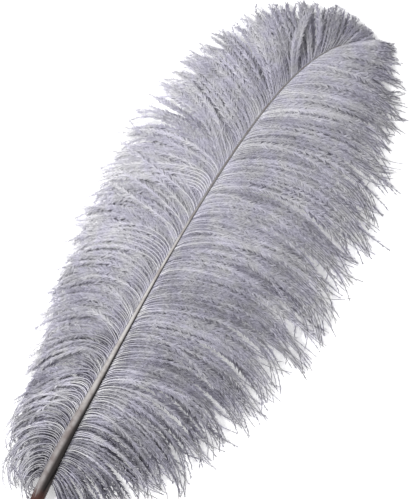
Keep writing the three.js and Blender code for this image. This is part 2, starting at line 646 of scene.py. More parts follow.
@dataclass(frozen=True)
class Manner:
    """How the barbs of one layer differ from a usual upper one.

    Attributes:
        clings: How far they follow their wisp.
        loose: How much more they differ in length and waviness.
        leave: How much more they spread where they leave the shaft.
        turn: How much more they spread towards their tips.
        curl: How much more their tips curl.
        shorter: How much shorter than their full length they are.
        lift: How much higher they lie, in metres.
        height_shade: Painted shade for lying low among the others; negative, painted light for
            lying on top.
        combed: How far their barbules lie along them near the quill.
        breadth: How broad their barbules are.
        opened: Share of the barbules that the lowest barbs lose in their outer part.
        thins: Where along them the barbules grow sparse.
    """

    clings: float = 1.0
    loose: float = 1.0
    leave: float = 1.0
    turn: float = 1.0
    curl: float = 1.0
    shorter: float = 0.015
    lift: float = 0.0
    height_shade: float = 0.0
    combed: float = 0.8
    breadth: float = 1.0
    opened: float = 0.35
    thins: Span = (0.62, 1.0)


class Layer(Enum):
    """Where a barb lies in its vane."""

    UPPER = Manner()
    # STRAY lies on top and gets painted light; UNDER lies beneath and gets painted shade.
    STRAY = Manner(loose=3.0, leave=3.0, turn=3.0, curl=1.6, lift=0.0012, height_shade=-0.05)
    UNDER = Manner(
        clings=0.0, loose=1.6, leave=0.5, turn=0.3, curl=0.8, shorter=0.04, lift=-0.0028,
        height_shade=0.13, combed=0.2, breadth=2.5, opened=0.85, thins=(0.69, 0.96),
    )


@dataclass
class Barb:
    """One barb's own traits, on top of those of its lock and wisp."""

    share: float
    wisp: Wisp
    layer: Layer
    pull: float
    leave: float
    turn: float
    late: float
    length: float
    lift: float
    tone: float
    core: float
    curl: float
    wave: float
    phase: float


@dataclass(frozen=True)
class Variety:
    """How far wisps and barbs differ, in both vanes.

    A pair is the least and the greatest value, and a single number the usual spread.
    """

    members: tuple[int, int] = (3, 9)
    wisp_turn: float = 0.6
    wisp_shorter: float = 0.005
    wisp_length: float = 0.04
    wisp_lift: Span = (-0.0014, 0.0026)
    wisp_tone: float = 0.05
    wisp_pull: Span = (0.3, 0.85)
    wisp_grip: Span = (0.35, 0.65)
    wisp_wave: Span = (3.0, 11.0)
    lowest_pull: float = 0.2
    base_grip: float = 0.2
    place: float = 0.35
    pull: Span = (0.6, 1.1)
    follow: float = 0.6
    leave: float = 2.0
    turn: float = 4.5
    late: float = 0.06
    length: float = 0.03
    length_limits: Span = (-0.25, 0.045)
    lowest_loss: float = 0.4
    lift: float = 0.0012
    tone: float = 0.072
    cores: tuple[float, ...] = (0.22, 0.16, 0.09, -0.14)
    wave: Span = (1.0, 5.0)
    crossing_core: float = 0.34
    crossing_lift: float = 0.0045


@dataclass(frozen=True)
class Profile:
    """How barbs change along the vane, along themselves and with distance from the shaft.

    A pair is a stretch over which something changes: of the vane, or of the barb, or, where
    the name ends in away, of the distance from the shaft in metres.
    """

    lowest: Span = (0.05, 0.16)
    base_end: float = 0.35
    quill_fade: float = 0.85
    quill_span: Span = (0.15, 0.6)
    bare_away: Span = (0.004, 0.024)
    top: Span = (0.77, 0.9)
    top_calm: float = 0.35
    base_contrast: float = 0.4
    low: Span = (0.1, 0.5)
    shaded: Span = (0.1, 0.4)
    ends: Span = (0.62, 1.0)
    pale_fade: float = 0.9
    pale_until: Span = (0.6, 0.85)
    lowest_pale: float = 0.2
    opens: Span = (0.25, 0.5)
    last: Span = (0.95, 1.0)
    last_relief: float = 0.7
    lowest_shade: float = 0.2
    lowest_shade_away: Span = (0.006, 0.022)
    outer: Span = (0.3, 0.5)
    outer_pale: float = 0.12
    glint_fade: float = 0.35
    glint_away: Span = (0.015, 0.05)
    core_contrast: float = 0.1
    core_shine: float = 0.28
    shine_least: float = 0.3
    shine_gain: float = 0.7
    shine_from: Span = (-0.02, 0.2)
    lowest_core: float = 0.05
    tip_core_from: Span = (0.45, 0.9)
    root_thick: float = 1.25
    lowest_thick: float = 0.5
    combed_from: Span = (0.5, 0.95)
    combed_splay: float = 0.6
    combed_fluff: float = 0.3
    tip_breadth: float = 0.5
    root_fluff: float = 0.5
    fluff_away: Span = (0.004, 0.022)
    bare_tip: Span = (0.86, 1.0)
    open_fluff: float = 0.4
    vary: float = 0.85
    base_vary: float = 0.35


VARIETY = Variety()
PROFILE = Profile()


@dataclass(frozen=True)
class Habit:
    """How the barbs of one vane grow.

    Attributes:
        count: Number of barbs in the upper layer.
        under: Number of barbs in the lower layer.
        strays: Share of the upper barbs that lie loose across the others.
        tip_fluff: How long barbules are at the tips, as a share of their full length.
        bare_tip: How far the barbules shrink at the very end.
        combed_tip: How far the barbules lie along the barb at the tips.
        tip_thick: How much of the core's thickness is lost towards the tip.
        tip_density: Share of the barbules that are left at the tips.
        tip_tone: How much paler the barbules are at the tips.
        tip_core: Tone of the cores at the tips.
        tone: Typical tone of the barbules.
        contrast: How far the tones differ away from the quill.
        curl: Typical bend of the tips, in degrees.
        tangle: Typical difference in bend between neighbouring wisps, in degrees.
        unlike: Typical difference in how late neighbouring wisps bend.
        tip_shade: How much the tone drops for barbs near the feather's tip.
        under_density: Share of the lower layer's barbules that are left at the tips.
        loose_base: How far the lowest barbs lie apart from each other.
        base_shade: How much painted shade the barbs near the quill get.
    """

    count: int
    under: int
    strays: float
    tip_fluff: float
    bare_tip: float
    combed_tip: float
    tip_thick: float
    tip_density: float
    tip_tone: float
    tip_core: float
    tone: float
    contrast: float
    curl: float
    tangle: float
    unlike: float
    tip_shade: float
    under_density: float
    loose_base: float
    base_shade: float


class Salt(Enum):
    """What tells the fringe's random numbers from each other."""

    ANGLE = 11
    ROLL = 12
    PITCH = 13
    BUNDLE_LENGTH = 14
    TONE = 15
    OWN_TONE = 16
    JITTER = 17
    OWN_LENGTH = 18
    KEPT = 19


class Fringe:
    """The node tree that turns guide lines into barbs fringed with bundles of barbules."""

    SIZES = {
        "Core Radius": 0.00027,
        "Barbule Spacing": 0.00030,
        "Barbule Length": 0.0048,
        "Barbule Width": 0.00038,
        "Barbule Angle": 38.0,
        "Barbule Pitch": 3.0,
        "Bundle Size": 4.0,
        "Bundle Gather": 3.0,
        "Angle Spread": 13.0,
        "Roll Spread": 14.0,
        "Pitch Spread": 9.0,
        "Tone Spread": 0.05,
        "Own Tone Spread": 0.13,
        "Tip Tone": 0.16,
        "Rows": 80.0,
        "Seed": SEED,
        "Finish": None,
    }

    # What kind of socket takes each kind of value.
    KINDS = {float: "NodeSocketFloat", int: "NodeSocketInt", type(None): "NodeSocketMaterial"}

    # Values that nothing reads once the map is laid out.
    SPENT = "across side row thick fluff breadth density vary splay core_tone core".split()

    # Positions of a Random Value node's sockets for numbers: least, greatest, ID and seed.
    LEAST, GREATEST, WHO, START, NUMBER = 2, 3, 7, 8, 1

    CORE_SIDES = 3
    CORE_MIDDLE = 0.33
    BLADE_POINTS = (3, 2)
    BLADE_TAPER = 1.8
    BLADE_BEND = 2.0
    BLADE_DROOP = -0.14
    MERGE_WITHIN = 0.001
    ANGLE_JITTER = 4.0
    BUNDLE_LENGTHS: Span = (0.6, 1.15)
    OWN_LENGTHS: Span = (0.85, 1.0)
    TIP_TONE_FROM = 0.4

    # Where the map puts a fibre: cores in the middle of their barb's row, a barbule above or
    # below it, and everything a little inside the map's edges.
    MAP_WIDTH = 0.005
    MAP_SCALE, MAP_EDGE = 0.98, 0.01
    MAP_REACH, MAP_ROOT = 0.38, 0.06
    MAP_CORE = 0.1

    def __init__(self) -> None:
        """Builds the tree once, for all stretches of both vanes."""
        group = bpy.data.node_groups.new("fringe", "GeometryNodeTree")
        face = group.interface
        face.new_socket("Geometry", in_out="INPUT", socket_type="NodeSocketGeometry")
        for name, value in self.SIZES.items():
            kind = self.KINDS[type(value)]
            socket = face.new_socket(name, in_out="INPUT", socket_type=kind)
            if value is not None:
                socket.default_value = value
        face.new_socket("Geometry", in_out="OUTPUT", socket_type="NodeSocketGeometry")
        self.group = group
        self.tree = Tree(group)
        self.given = self.tree.add("NodeGroupInput").outputs
        self.wire()

    def named(self, name: str) -> bpy.types.NodeSocket:
        """Reads a number stored on the geometry under a name."""
        node = self.tree.add("GeometryNodeInputNamedAttribute", name, data_type="FLOAT")
        return node.outputs[0]

    def store(self, geometry: object, name: str, value: object, **settings: str) -> object:
        """Stores a value on the geometry under a name.

        Args:
            geometry: The geometry.
            name: The name.
            value: The value or its field.
            **settings: The kind of value and where it sits, if not a number on each point.

        Returns:
            The geometry with the value.
        """
        settings = {"data_type": "FLOAT", "domain": "POINT", **settings}
        inputs = (geometry, None, name)
        node = self.tree.add("GeometryNodeStoreNamedAttribute", *inputs, **settings)
        enabled = [socket for socket in node.inputs if socket.enabled]
        self.tree.feed(enabled[-1], value)
        return node.outputs[0]

    def random(self, low: object, high: object, salt: Salt, who: object = None) -> object:
        """A repeatable random number for each point, or for each number in who.

        Args:
            low: The least value.
            high: The greatest value.
            salt: What the number is for.
            who: What shares one number, if not each point alone.

        Returns:
            The random number's field.
        """
        seed = self.tree.math("ADD", self.given["Seed"], salt.value)
        node = self.tree.add("FunctionNodeRandomValue", data_type="FLOAT")
        values = {self.LEAST: low, self.GREATEST: high, self.WHO: who, self.START: seed}
        for index, value in values.items():
            self.tree.feed(node.inputs[index], value)
        return node.outputs[self.NUMBER]

    def either_way(self, name: str, salt: Salt, who: object = None) -> object:
        """A random number between minus and plus one of the tree's inputs."""
        least = self.tree.math("MULTIPLY", self.given[name], -1.0)
        return self.random(least, self.given[name], salt, who)

    def cores(self, curves: object) -> object:
        """Makes the barbs' cores: thin tapered rods along the guide lines.

        Args:
            curves: The guide lines.

        Returns:
            The rods.
        """
        tree = self.tree
        radius = tree.math("MULTIPLY", self.given["Core Radius"], self.named("thick"))
        ring = tree.add("GeometryNodeCurvePrimitiveCircle", self.CORE_SIDES, mode="RADIUS")
        place = tree.add("GeometryNodeSplineParameter").outputs[0]
        across = tree.math("SUBTRACT", place, self.CORE_MIDDLE)
        ring = self.store(ring.outputs[0], "across", across)
        rods = tree.add("GeometryNodeCurveToMesh", curves, ring, radius).outputs[0]
        rods = self.store(rods, "tone", self.named("core_tone"))
        rods = self.store(rods, "reach", 0.0)
        rods = self.store(rods, "side", 0.0)
        return self.store(rods, "core", 1.0)

    def blade(self) -> object:
        """Makes one barbule of unit length: a flat tapering blade that bends down a little.

        Returns:
            The blade.
        """
        tree = self.tree
        grid = tree.add("GeometryNodeMeshGrid", 1.0, 1.0, *self.BLADE_POINTS).outputs[0]
        spot = tree.add("GeometryNodeInputPosition").outputs[0]
        parts = tree.add("ShaderNodeSeparateXYZ", spot).outputs
        grid = self.store(grid, "reach", tree.math("ADD", parts[0], 0.5))
        grid = self.store(grid, "across", parts[1])
        reach = self.named("reach")
        narrowing = tree.math("SUBTRACT", 1.0, tree.math("POWER", reach, self.BLADE_TAPER))
        width = tree.math("MULTIPLY", self.named("across"), narrowing)
        droop = tree.math("POWER", reach, self.BLADE_BEND)
        droop = tree.math("MULTIPLY", droop, self.BLADE_DROOP)
        bent = tree.add("ShaderNodeCombineXYZ", reach, width, droop).outputs[0]
        shaped = tree.add("GeometryNodeSetPosition", grid, None, bent).outputs[0]
        inputs = (shaped, None, self.MERGE_WITHIN)
        return tree.add("GeometryNodeMergeByDistance", *inputs).outputs[0]

    def barbules(self, curves: object) -> object:
        """Makes bundles of barbules in a row on both sides of each guide line.

        Args:
            curves: The guide lines.

        Returns:
            The barbules, still as instances.
        """
        tree = self.tree
        dots = tree.add("GeometryNodeCurveToPoints", mode="LENGTH")
        tree.feed(dots.inputs["Curve"], curves)
        tree.feed(dots.inputs["Length"], self.given["Barbule Spacing"])
        index = tree.add("GeometryNodeInputIndex").outputs[0]
        odd = tree.math("MODULO", index, 2.0)
        side = tree.math("MULTIPLY_ADD", odd, 2.0, -1.0)
        pair = tree.math("FLOOR", tree.math("DIVIDE", index, 2.0))
        size = self.given["Bundle Size"]
        number = tree.math("FLOOR", tree.math("DIVIDE", pair, size))
        bundle = tree.math("MULTIPLY_ADD", number, 2.0, odd)
        middle = tree.math("MULTIPLY", tree.math("SUBTRACT", size, 1.0), 0.5)
        order = tree.math("SUBTRACT", tree.math("MODULO", pair, size), middle)
        points = self.store(dots.outputs["Points"], "side", side)
        points = self.store(points, "core", 0.0)
        fleck = self.either_way("Tone Spread", Salt.TONE, bundle)
        fleck = tree.math("ADD", fleck, self.either_way("Own Tone Spread", Salt.OWN_TONE))
        tone = tree.math("MULTIPLY_ADD", fleck, self.named("vary"), self.named("tone"))
        points = self.store(points, "tone", tone)
        length = tree.math("MULTIPLY", self.given["Barbule Length"], self.named("fluff"))
        shared = self.random(*self.BUNDLE_LENGTHS, Salt.BUNDLE_LENGTH, bundle)
        length = tree.math("MULTIPLY", length, shared)
        own = self.random(*self.OWN_LENGTHS, Salt.OWN_LENGTH)
        length = tree.math("MULTIPLY", length, own)
        width = tree.math("MULTIPLY", self.given["Barbule Width"], self.named("breadth"))
        scale = tree.add("ShaderNodeCombineXYZ", length, width, length)
        kept = tree.add("FunctionNodeCompare", data_type="FLOAT", operation="LESS_THAN")
        tree.feed(kept.inputs[0], self.random(0.0, 1.0, Salt.KEPT))
        tree.feed(kept.inputs[1], self.named("density"))
        rotation = self.pose(dots.outputs["Tangent"], side, order, bundle)
        placed = tree.add("GeometryNodeInstanceOnPoints", points)
        tree.feed(placed.inputs["Selection"], kept.outputs[0])
        tree.feed(placed.inputs["Instance"], self.blade())
        tree.feed(placed.inputs["Rotation"], rotation)
        tree.feed(placed.inputs["Scale"], scale.outputs[0])
        return placed.outputs[0]

    def pose(self, tangent: object, side: object, order: object, bundle: object) -> object:
        """Turns each barbule away from its barb.

        Args:
            tangent: The barb's direction.
            side: Minus or plus one for the side of the barb.
            order: The barbule's place in its bundle, 0 in the middle.
            bundle: The bundle's number.

        Returns:
            The rotation's field.
        """
        tree = self.tree
        axes = {"primary_axis": "X", "secondary_axis": "Z"}
        node = tree.add("FunctionNodeAxesToRotation", tangent, (0.0, 0.0, 1.0), **axes)
        angle = self.either_way("Angle Spread", Salt.ANGLE, bundle)
        angle = tree.math("ADD", self.given["Barbule Angle"], angle)
        angle = tree.math("MULTIPLY_ADD", order, self.given["Bundle Gather"], angle)
        jitter = self.random(-self.ANGLE_JITTER, self.ANGLE_JITTER, Salt.JITTER)
        angle = tree.math("ADD", angle, jitter)
        angle = tree.math("MULTIPLY", angle, self.named("splay"))
        yaw = tree.math("RADIANS", tree.math("MULTIPLY", angle, side))
        turned = self.turn(node.outputs[0], (0.0, 0.0, yaw))
        roll = tree.math("RADIANS", self.either_way("Roll Spread", Salt.ROLL, bundle))
        pitch = self.either_way("Pitch Spread", Salt.PITCH, bundle)
        pitch = tree.math("ADD", self.given["Barbule Pitch"], pitch)
        return self.turn(turned, (roll, tree.math("RADIANS", pitch), 0.0))

    def turn(self, rotation: object, angles: tuple[object, object, object]) -> object:
        """Turns a rotation about its own axes.

        Args:
            rotation: The rotation.
            angles: Angles about X, Y and Z, in radians.

        Returns:
            The new rotation.
        """
        tree = self.tree
        vector = tree.add("ShaderNodeCombineXYZ", *angles).outputs[0]
        turn = tree.add("FunctionNodeEulerToRotation", vector).outputs[0]
        node = tree.add("FunctionNodeRotateRotation", rotation, turn, rotation_space="LOCAL")
        return node.outputs[0]

    def wire(self) -> None:
        """Joins cores and barbules, lays out their map and gives them their finish."""
        tree = self.tree
        curves = tree.add("GeometryNodeMeshToCurve", self.given["Geometry"]).outputs[0]
        join = tree.add("GeometryNodeJoinGeometry")
        tree.tree.links.new(self.cores(curves), join.inputs[0])
        tree.tree.links.new(self.barbules(curves), join.inputs[0])
        real = tree.add("GeometryNodeRealizeInstances", join.outputs[0]).outputs[0]
        outer = tree.math("SUBTRACT", self.named("reach"), self.TIP_TONE_FROM)
        fade = tree.math("MULTIPLY", outer, self.given["Tip Tone"])
        fade = tree.math("MULTIPLY", fade, tree.math("SUBTRACT", 1.0, self.named("core")))
        real = self.store(real, "tone", tree.math("ADD", self.named("tone"), fade))
        across = self.named("across")
        u = tree.math("MULTIPLY_ADD", across, self.MAP_WIDTH, self.named("share"))
        u = tree.math("MULTIPLY_ADD", u, self.MAP_SCALE, self.MAP_EDGE)
        reach = tree.math("MULTIPLY_ADD", self.named("reach"), self.MAP_REACH, self.MAP_ROOT)
        v = tree.math("MULTIPLY", reach, self.named("side"))
        cored = tree.math("MULTIPLY", across, self.named("core"))
        v = tree.math("MULTIPLY_ADD", cored, self.MAP_CORE, v)
        v = tree.math("ADD", v, tree.math("ADD", self.named("row"), 0.5))
        v = tree.math("DIVIDE", v, self.given["Rows"])
        spot = tree.add("ShaderNodeCombineXYZ", u, v, 0.0).outputs[0]
        mapped = self.store(real, "OFBake", spot, data_type="FLOAT2", domain="CORNER")
        for name in self.SPENT:
            mapped = tree.add("GeometryNodeRemoveAttribute", mapped, name).outputs[0]
        dressed = tree.add("GeometryNodeSetMaterial", mapped)
        tree.feed(dressed.inputs["Material"], self.given["Finish"])
        out = tree.add("NodeGroupOutput")
        tree.tree.links.new(dressed.outputs[0], out.inputs[0])

    def grow(
        self, name: str, guides: bpy.types.Mesh, sizes: dict[str, object]
    ) -> bpy.types.Object:
        """Grows the fringe on guide lines and keeps the result as a plain mesh.

        Args:
            name: The piece's name.
            guides: Guide lines with their attributes.
            sizes: Values for the tree's named inputs.

        Returns:
            The finished piece.
        """
        seedling = add_object(name + "_guides", guides)
        modifier = seedling.modifiers.new("fringe", "NODES")
        modifier.node_group = self.group
        for item in self.group.interface.items_tree:
            if item.in_out == "INPUT" and item.name in sizes:
                modifier[item.identifier] = sizes[item.name]
        shown = seedling.evaluated_get(bpy.context.evaluated_depsgraph_get())
        mesh = bpy.data.meshes.new_from_object(shown)
        mesh.name = name
        bpy.data.objects.remove(seedling)
        return add_object(name, mesh)


@dataclass
class Vane:
    """The barbs on one side of the shaft, in wisps that part at their ends."""

    # Columns of the stations, after the place along the vane.
    LENGTH, LEAVING, ENDING, LATE = 1, 2, 3, 4

    # Numbers of the locks' traits.
    LONGER, TURNED, HIGHER = 1, 2, 4

    side: Side
    shaft: Shaft
    stations: Stations
    habit: Habit
    start: float = 0.095
    locks: int = 28
    steps: int = 21
    rise: float = 0.005
    droop_power: float = 2.2
    lock_length: float = 0.04
    lock_angle: float = 4.0
    rise_spread: float = 0.0025
    tip_height: float = 0.0038
    least_height: float = 0.0034
    root_shade: float = 0.34
    root_reach: float = 0.95
    root_lean: float = 26.0
    lean_reach: float = 0.05
    wave_turns: float = 7.0
    leave_span: Span = (0.02, 0.2)
    curl_span: Span = (0.66, 1.0)
    pull_end: float = 1.15
    crossings: tuple[Crossing, ...] = ()

    def trait(self, share: float, trait: int) -> float:
        """Reads a trait of the locks, which drifts evenly from one lock's middle to the next.

        Args:
            share: Place along the vane.
            trait: Number of the trait.

        Returns:
            The trait there, from -1 to 1.
        """
        at = share * self.locks - 0.5
        k = math.floor(at)
        low, high = (
            spread(self.side.value * (min(max(lock, 0), self.locks) + 1), trait)
            for lock in (k, k + 1)
        )
        return low + (high - low) * float(smoothstep(at - k, 0.0, 1.0))

    def line(self, share: float, habit: Wisp | Barb) -> np.ndarray:
        """Points along a barb, from the shaft to the barb's tip.

        Args:
            share: Place along the vane.
            habit: The traits it follows.

        Returns:
            One point per step and one more.
        """
        sign = self.side.value
        reach = along(self.stations, share, self.LENGTH) * habit.length
        reach *= 1 + self.lock_length * self.trait(share, self.LONGER)
        leaving = along(self.stations, share, self.LEAVING)
        bend = along(self.stations, share, self.ENDING)
        bend = bend + self.lock_angle * self.trait(share, self.TURNED) - leaving
        late = along(self.stations, share, self.LATE) * habit.late
        on_shaft = self.start + (1 - self.start) * share
        t = (np.arange(self.steps) + 0.5) / self.steps
        turns = leaving + (bend + habit.turn) * t**late
        turns = turns - self.root_lean * np.exp(-t / self.lean_reach)
        turns = turns + habit.wave * np.sin(t * self.wave_turns + habit.phase) * t
        turns = turns + habit.leave * smoothstep(t, *self.leave_span) * (1 - t)
        turns = turns + habit.curl * smoothstep(t, *self.curl_span)
        turns = np.radians(self.shaft.heading(on_shaft) + sign * turns)
        steps = np.stack([np.sin(turns), np.cos(turns)], 1) * reach / self.steps
        root = self.shaft.point(on_shaft)
        flat = np.vstack([[0.0, 0.0], np.cumsum(steps, 0)]) + root[:2]
        end = np.linspace(0, 1, self.steps + 1)
        flank = self.shaft.outwards(on_shaft)[:2] * sign * self.shaft.radius(on_shaft)
        flat += flank * self.root_reach * ((1 - end) ** 3)[:, None]
        heights = root[2] + (self.tip_height - root[2]) * end**self.droop_power
        rise = self.rise + self.rise_spread * self.trait(share, self.HIGHER)
        heights = heights + (rise + habit.lift) * np.sin(np.pi * end)
        return np.column_stack([flat, np.maximum(heights, self.least_height)])

    def wisp(self, draw: random.Random, share: float) -> Wisp:
        """Draws the traits of a wisp.

        Args:
            draw: The source of random numbers.
            share: Place of its middle along the vane.

        Returns:
            The wisp.
        """
        turn = VARIETY.wisp_turn * self.habit.tangle
        return Wisp(
            share=share,
            leave=draw.gauss(0, turn),
            turn=draw.gauss(0, turn),
            late=math.exp(draw.gauss(0, self.habit.unlike)),
            length=1 + draw.gauss(-VARIETY.wisp_shorter, VARIETY.wisp_length),
            lift=draw.uniform(*VARIETY.wisp_lift),
            tone=draw.gauss(0, VARIETY.wisp_tone),
            curl=draw.gauss(0, self.habit.curl),
            pull=draw.uniform(*VARIETY.wisp_pull) + VARIETY.lowest_pull * self.lowest(share),
            grip=draw.uniform(*VARIETY.wisp_grip) - VARIETY.base_grip * self.near_base(share),
            wave=draw.uniform(*VARIETY.wisp_wave),
            phase=draw.uniform(0, math.tau),
        )

    def barb(self, draw: random.Random, share: float, wisp: Wisp, under: bool) -> Barb:
        """Draws the traits of one barb.

        Args:
            draw: The source of random numbers.
            share: Its place along the vane.
            wisp: The wisp that it belongs to.
            under: Whether it lies in the lower layer.

        Returns:
            The barb.
        """
        layer = Layer.UNDER if under else Layer.UPPER
        if not under and draw.random() < self.habit.strays:
            layer = Layer.STRAY
        manner = layer.value
        follows = layer is Layer.UPPER
        return Barb(
            share=share,
            wisp=wisp,
            layer=layer,
            pull=wisp.pull * draw.uniform(*VARIETY.pull) if follows else 0.0,
            leave=wisp.leave * manner.clings + draw.gauss(0, VARIETY.leave) * manner.leave,
            turn=wisp.turn * manner.clings * VARIETY.follow
            + draw.gauss(0, VARIETY.turn) * manner.turn,
            late=wisp.late**manner.clings * math.exp(draw.gauss(0, VARIETY.late)),
            length=self.own_length(draw, share, manner),
            lift=draw.uniform(-VARIETY.lift, VARIETY.lift) + manner.lift,
            tone=draw.gauss(0, VARIETY.tone) - manner.height_shade,
            core=draw.choice(VARIETY.cores),
            curl=draw.gauss(0, self.habit.curl) * manner.curl,
            wave=draw.uniform(*VARIETY.wave) * manner.loose,
            phase=draw.uniform(0, math.tau),
        )

    def own_length(self, draw: random.Random, share: float, manner: Manner) -> float:
        """Draws how long a barb is.

        Args:
            draw: The source of random numbers.
            share: Its place along the vane.
            manner: How the barbs of its layer differ.

        Returns:
            Its length as a share of the full length there.
        """
        least, greatest = VARIETY.length_limits
        own = draw.gauss(-manner.shorter, VARIETY.length) * manner.loose
        loss = draw.random() * VARIETY.lowest_loss * self.lowest(share)
        return (1 + max(min(own, greatest), least)) * (1 - loss)

    def lowest(self, share: float) -> float:
        """How loose a barb lies for growing among the lowest ones, from 0 to 1."""
        return self.habit.loose_base * (1 - float(smoothstep(share, *PROFILE.lowest)))

    def near_base(self, share: float) -> float:
        """How near a barb grows to the quill: 1 where the vane begins, 0 higher up."""
        return max(0.0, 1 - share / PROFILE.base_end)

    def sow(self) -> list[Barb]:
        """Draws all barbs: the upper layer, the lower one and then the crossing wisps.

        Returns:
            The barbs with their traits.
        """
        draw = random.Random(SEED + self.side.value)
        barbs = []
        for under, count in ((False, self.habit.count), (True, self.habit.under)):
            row = 0
            while row < count:
                members = min(draw.randint(*VARIETY.members), count - row)
                wisp = self.wisp(draw, (row + members / 2) / count)
                for k in range(row, row + members):
                    place = (k + 0.5 + draw.uniform(-VARIETY.place, VARIETY.place)) / count
                    barbs.append(self.barb(draw, min(max(place, 0.0), 1.0), wisp, under))
                row += members
        for crossing in self.crossings:
            barbs.extend(self.cross(draw, crossing))
        return barbs

    def cross(self, draw: random.Random, crossing: Crossing) -> list[Barb]:
        """Draws the barbs of a wisp that lies across its neighbours.

        Args:
            draw: The source of random numbers.
            crossing: The wisp and how its barbs are spaced.

        Returns:
            The barbs.
        """
        barbs, wisp = [], crossing.wisp
        for k in range(crossing.barbs):
            share = wisp.share + crossing.spacing * (k - (crossing.barbs - 1) / 2)
            barb = self.barb(draw, share, wisp, False)
            barb.pull, barb.tone, barb.core = wisp.pull, 0.0, VARIETY.crossing_core
            barb.turn, barb.late, barb.lift = wisp.turn, wisp.late, VARIETY.crossing_lift
            barbs.append(barb)
        return barbs

    def barb_line(self, barb: Barb) -> np.ndarray:
        """Draws a barb's own line towards the middle of its wisp near its tip.

        Args:
            barb: The barb.

        Returns:
            One point per step and one more.
        """
        own = self.line(barb.share, barb)
        if barb.pull == 0.0:
            return own
        middle = self.line(barb.wisp.share, barb.wisp)
        t = np.linspace(0, 1, self.steps + 1)
        pull = barb.pull * smoothstep(t, barb.wisp.grip, self.pull_end)
        return own + (middle - own) * pull[:, None]

    def tones(self, barb: Barb, t: np.ndarray) -> tuple[np.ndarray, np.ndarray]:
        """Works out how a barb's colour changes along it.

        Args:
            barb: The barb.
            t: Places along it.

        Returns:
            The tone of its barbules and the tone of its core at those places.
        """
        habit, share, look = self.habit, barb.share, PROFILE
        away = t * along(self.stations, share, self.LENGTH)
        base, lowest = self.near_base(share), self.lowest(share)
        near_quill = 1 - look.quill_fade * float(smoothstep(share, *look.quill_span))
        bare = 1 - smoothstep(away, *look.bare_away)
        high = float(smoothstep(share, *look.top))
        strength = habit.contrast * (1 - look.top_calm * high) + look.base_contrast * base
        tone = habit.tone + (barb.tone + barb.wisp.tone) * strength
        low = 1 - float(smoothstep(share, *look.low))
        tone = tone - habit.base_shade * low * smoothstep(t, *look.shaded)
        last = float(smoothstep(share, *look.last))
        tone = tone - habit.tip_shade * high * (1 - look.last_relief * last)
        paler = 1 - look.pale_fade * float(smoothstep(share, *look.pale_until))
        paler = habit.tip_tone * paler + look.lowest_pale * lowest
        outer = look.outer_pale * lowest * smoothstep(t, *look.outer)
        fibres = tone - self.root_shade * bare * near_quill
        fibres = fibres + paler * smoothstep(t, *barb.layer.value.thins)
        shade = look.lowest_shade * lowest * (1 - smoothstep(away, *look.lowest_shade_away))
        fibres = fibres - shade + outer
        glint = 1 - look.glint_fade * smoothstep(away, *look.glint_away)
        cores = tone + barb.core * (strength + look.core_contrast) * glint
        shine = look.shine_least + look.shine_gain * near_quill
        shine = shine * float(smoothstep(share, *look.shine_from))
        cores = cores + look.core_shine * bare * shine + outer
        tip_core = habit.tip_core + look.lowest_core * lowest
        cores = cores + (tip_core - cores) * smoothstep(t, *look.tip_core_from)
        return fibres, cores

    def growth(self, barb: Barb, t: np.ndarray) -> dict[str, np.ndarray]:
        """Works out how a barb's core and barbules change in size along it.

        Args:
            barb: The barb.
            t: Places along it.

        Returns:
            The values that the fringe reads at those places, by name.
        """
        habit, share, look = self.habit, barb.share, PROFILE
        manner = barb.layer.value
        away = t * along(self.stations, share, self.LENGTH)
        base, lowest = self.near_base(share), self.lowest(share)
        sparse, ends = smoothstep(t, *manner.thins), smoothstep(t, *look.ends)
        opens = lowest * smoothstep(t, *look.opens)
        combed = np.maximum(
            base * manner.combed, habit.combed_tip * smoothstep(t, *look.combed_from)
        )
        fluff = look.root_fluff + (1 - look.root_fluff) * smoothstep(away, *look.fluff_away)
        fluff = fluff * (1 - habit.bare_tip * smoothstep(t, *look.bare_tip))
        fluff = fluff * (1 - look.combed_fluff * combed) * (1 - look.open_fluff * opens)
        under = barb.layer is Layer.UNDER
        lost = 1 - (habit.under_density if under else habit.tip_density)
        return {
            "thick": look.root_thick - (habit.tip_thick - look.lowest_thick * lowest) * t,
            "splay": 1 - look.combed_splay * combed,
            "breadth": manner.breadth * (1 - look.tip_breadth * sparse),
            "fluff": fluff * (1 - (1 - habit.tip_fluff) * ends),
            "vary": np.full(len(t), look.vary + look.base_vary * base),
            "density": (1 - lost * sparse) * (1 - manner.opened * opens),
        }

    def guides(self, barbs: list[Barb]) -> bpy.types.Mesh:
        """Makes the guide lines of some barbs.

        Args:
            barbs: The barbs of one stretch.

        Returns:
            A mesh of edges whose points carry what the fringe reads.
        """
        count = self.steps + 1
        t = np.linspace(0, 1, count)
        points, edges = [], []
        values: dict[str, list[float]] = {}
        for row, barb in enumerate(barbs):
            points.extend(map(tuple, self.barb_line(barb)))
            first = row * count
            edges.extend((first + k, first + k + 1) for k in range(self.steps))
            fibres, cores = self.tones(barb, t)
            own = {"share": t, "row": np.full(count, float(row)), "tone": fibres}
            own |= {"core_tone": cores} | self.growth(barb, t)
            for name, numbers in own.items():
                values.setdefault(name, []).extend(numbers)
        mesh = bpy.data.meshes.new("guides")
        mesh.from_pydata(points, edges, [])
        for name, numbers in values.items():
            mesh.attributes.new(name, "FLOAT", "POINT").data.foreach_set("value", numbers)
        return mesh

    def build(
        self, fringe: Fringe, finish: bpy.types.Material, stretches: dict[str, float]
    ) -> list[bpy.types.Object]:
        """Grows the vane in stretches.

        Args:
            fringe: The tree that grows barbs.
            finish: The barbs' material.
            stretches: Name of each stretch and the share of the vane where it ends.

        Returns:
            The finished pieces.
        """
        barbs, pieces, begin = self.sow(), [], -1.0
        for name, end in stretches.items():
            chosen = [barb for barb in barbs if begin < barb.share <= end]
            sizes = {"Rows": float(len(chosen)), "Finish": finish, "Seed": SEED + len(pieces)}
            pieces.append(fringe.grow(name, self.guides(chosen), sizes))
            begin = end
        return pieces


